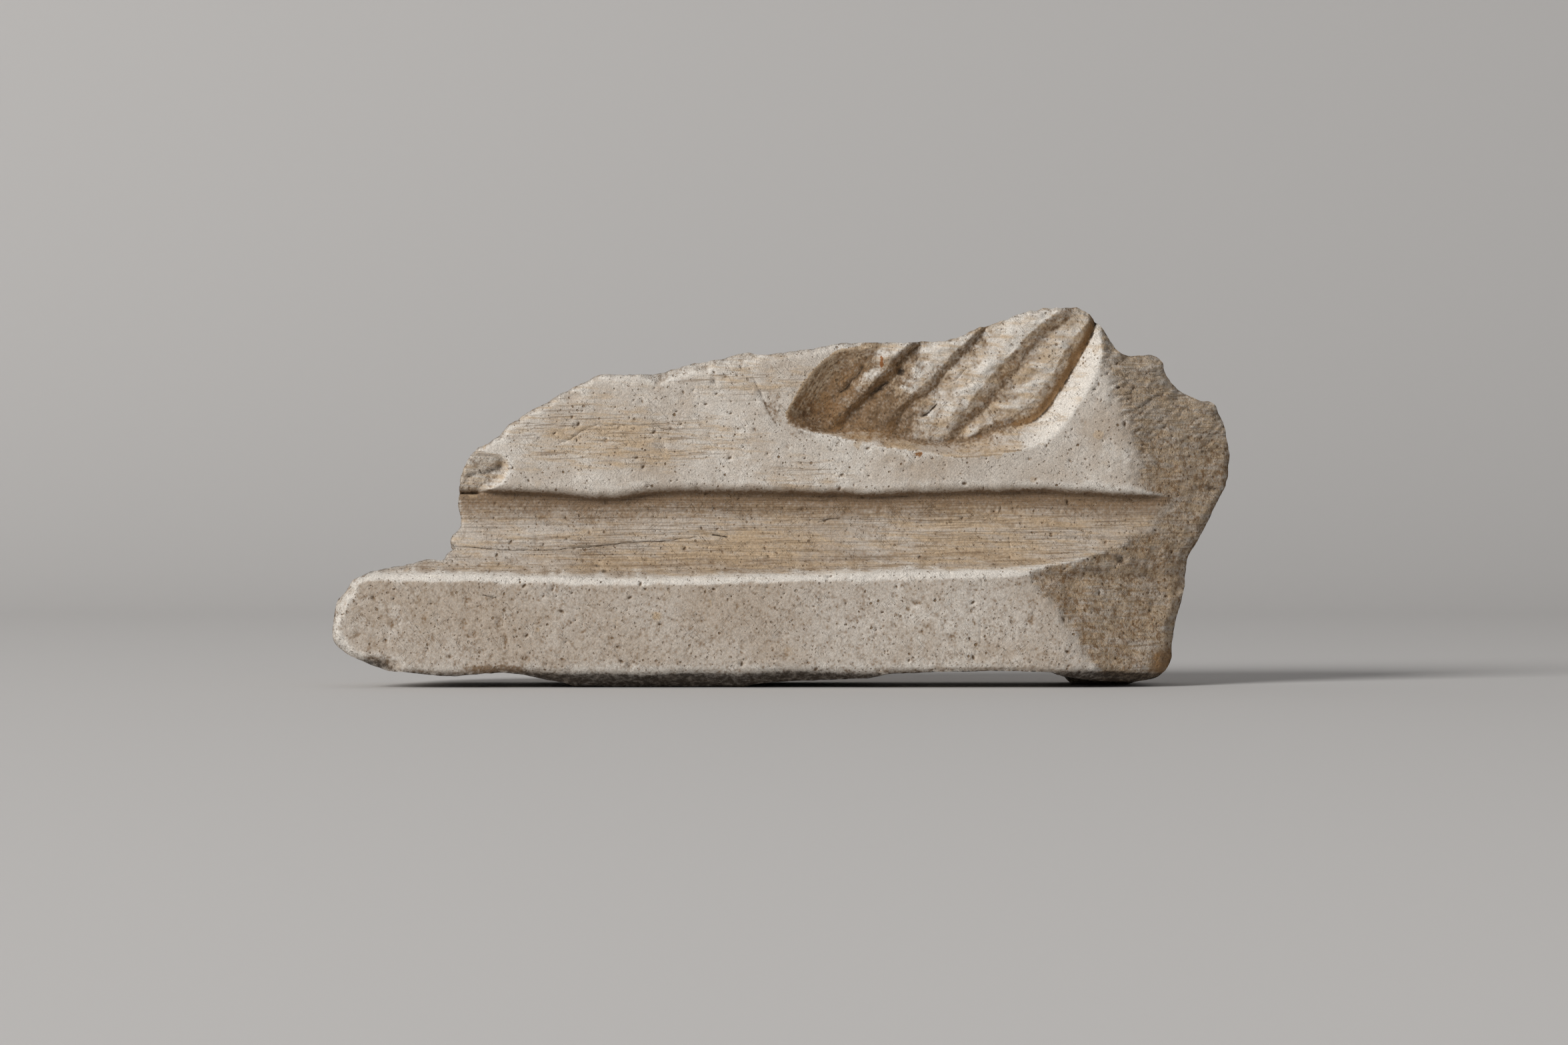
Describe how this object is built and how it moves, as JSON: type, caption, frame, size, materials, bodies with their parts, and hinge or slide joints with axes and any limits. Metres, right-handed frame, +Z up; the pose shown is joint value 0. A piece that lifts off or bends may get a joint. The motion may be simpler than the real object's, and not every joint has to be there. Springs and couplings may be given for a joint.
{
  "type": "tomb relief fragment",
  "caption": "Broken fragment of a carved limestone tomb relief: projecting plinth band, hollow channel, set-back field with a sunk carved recess, and a rough oblique facet.",
  "frame": {"origin": "centre of the bounding box at the ground that the fragment stands on", "axes": "+X along the length towards the oblique facet, -Y out of the carved front, +Z up"},
  "size_m": [0.32, 0.06, 0.1351],
  "materials": {
    "limestone": "matt weathered pale limestone, pitted, with ochre and brown stains"
  },
  "bodies": {
    "root": {"relief_block": "limestone"}
  },
  "joints": []
}
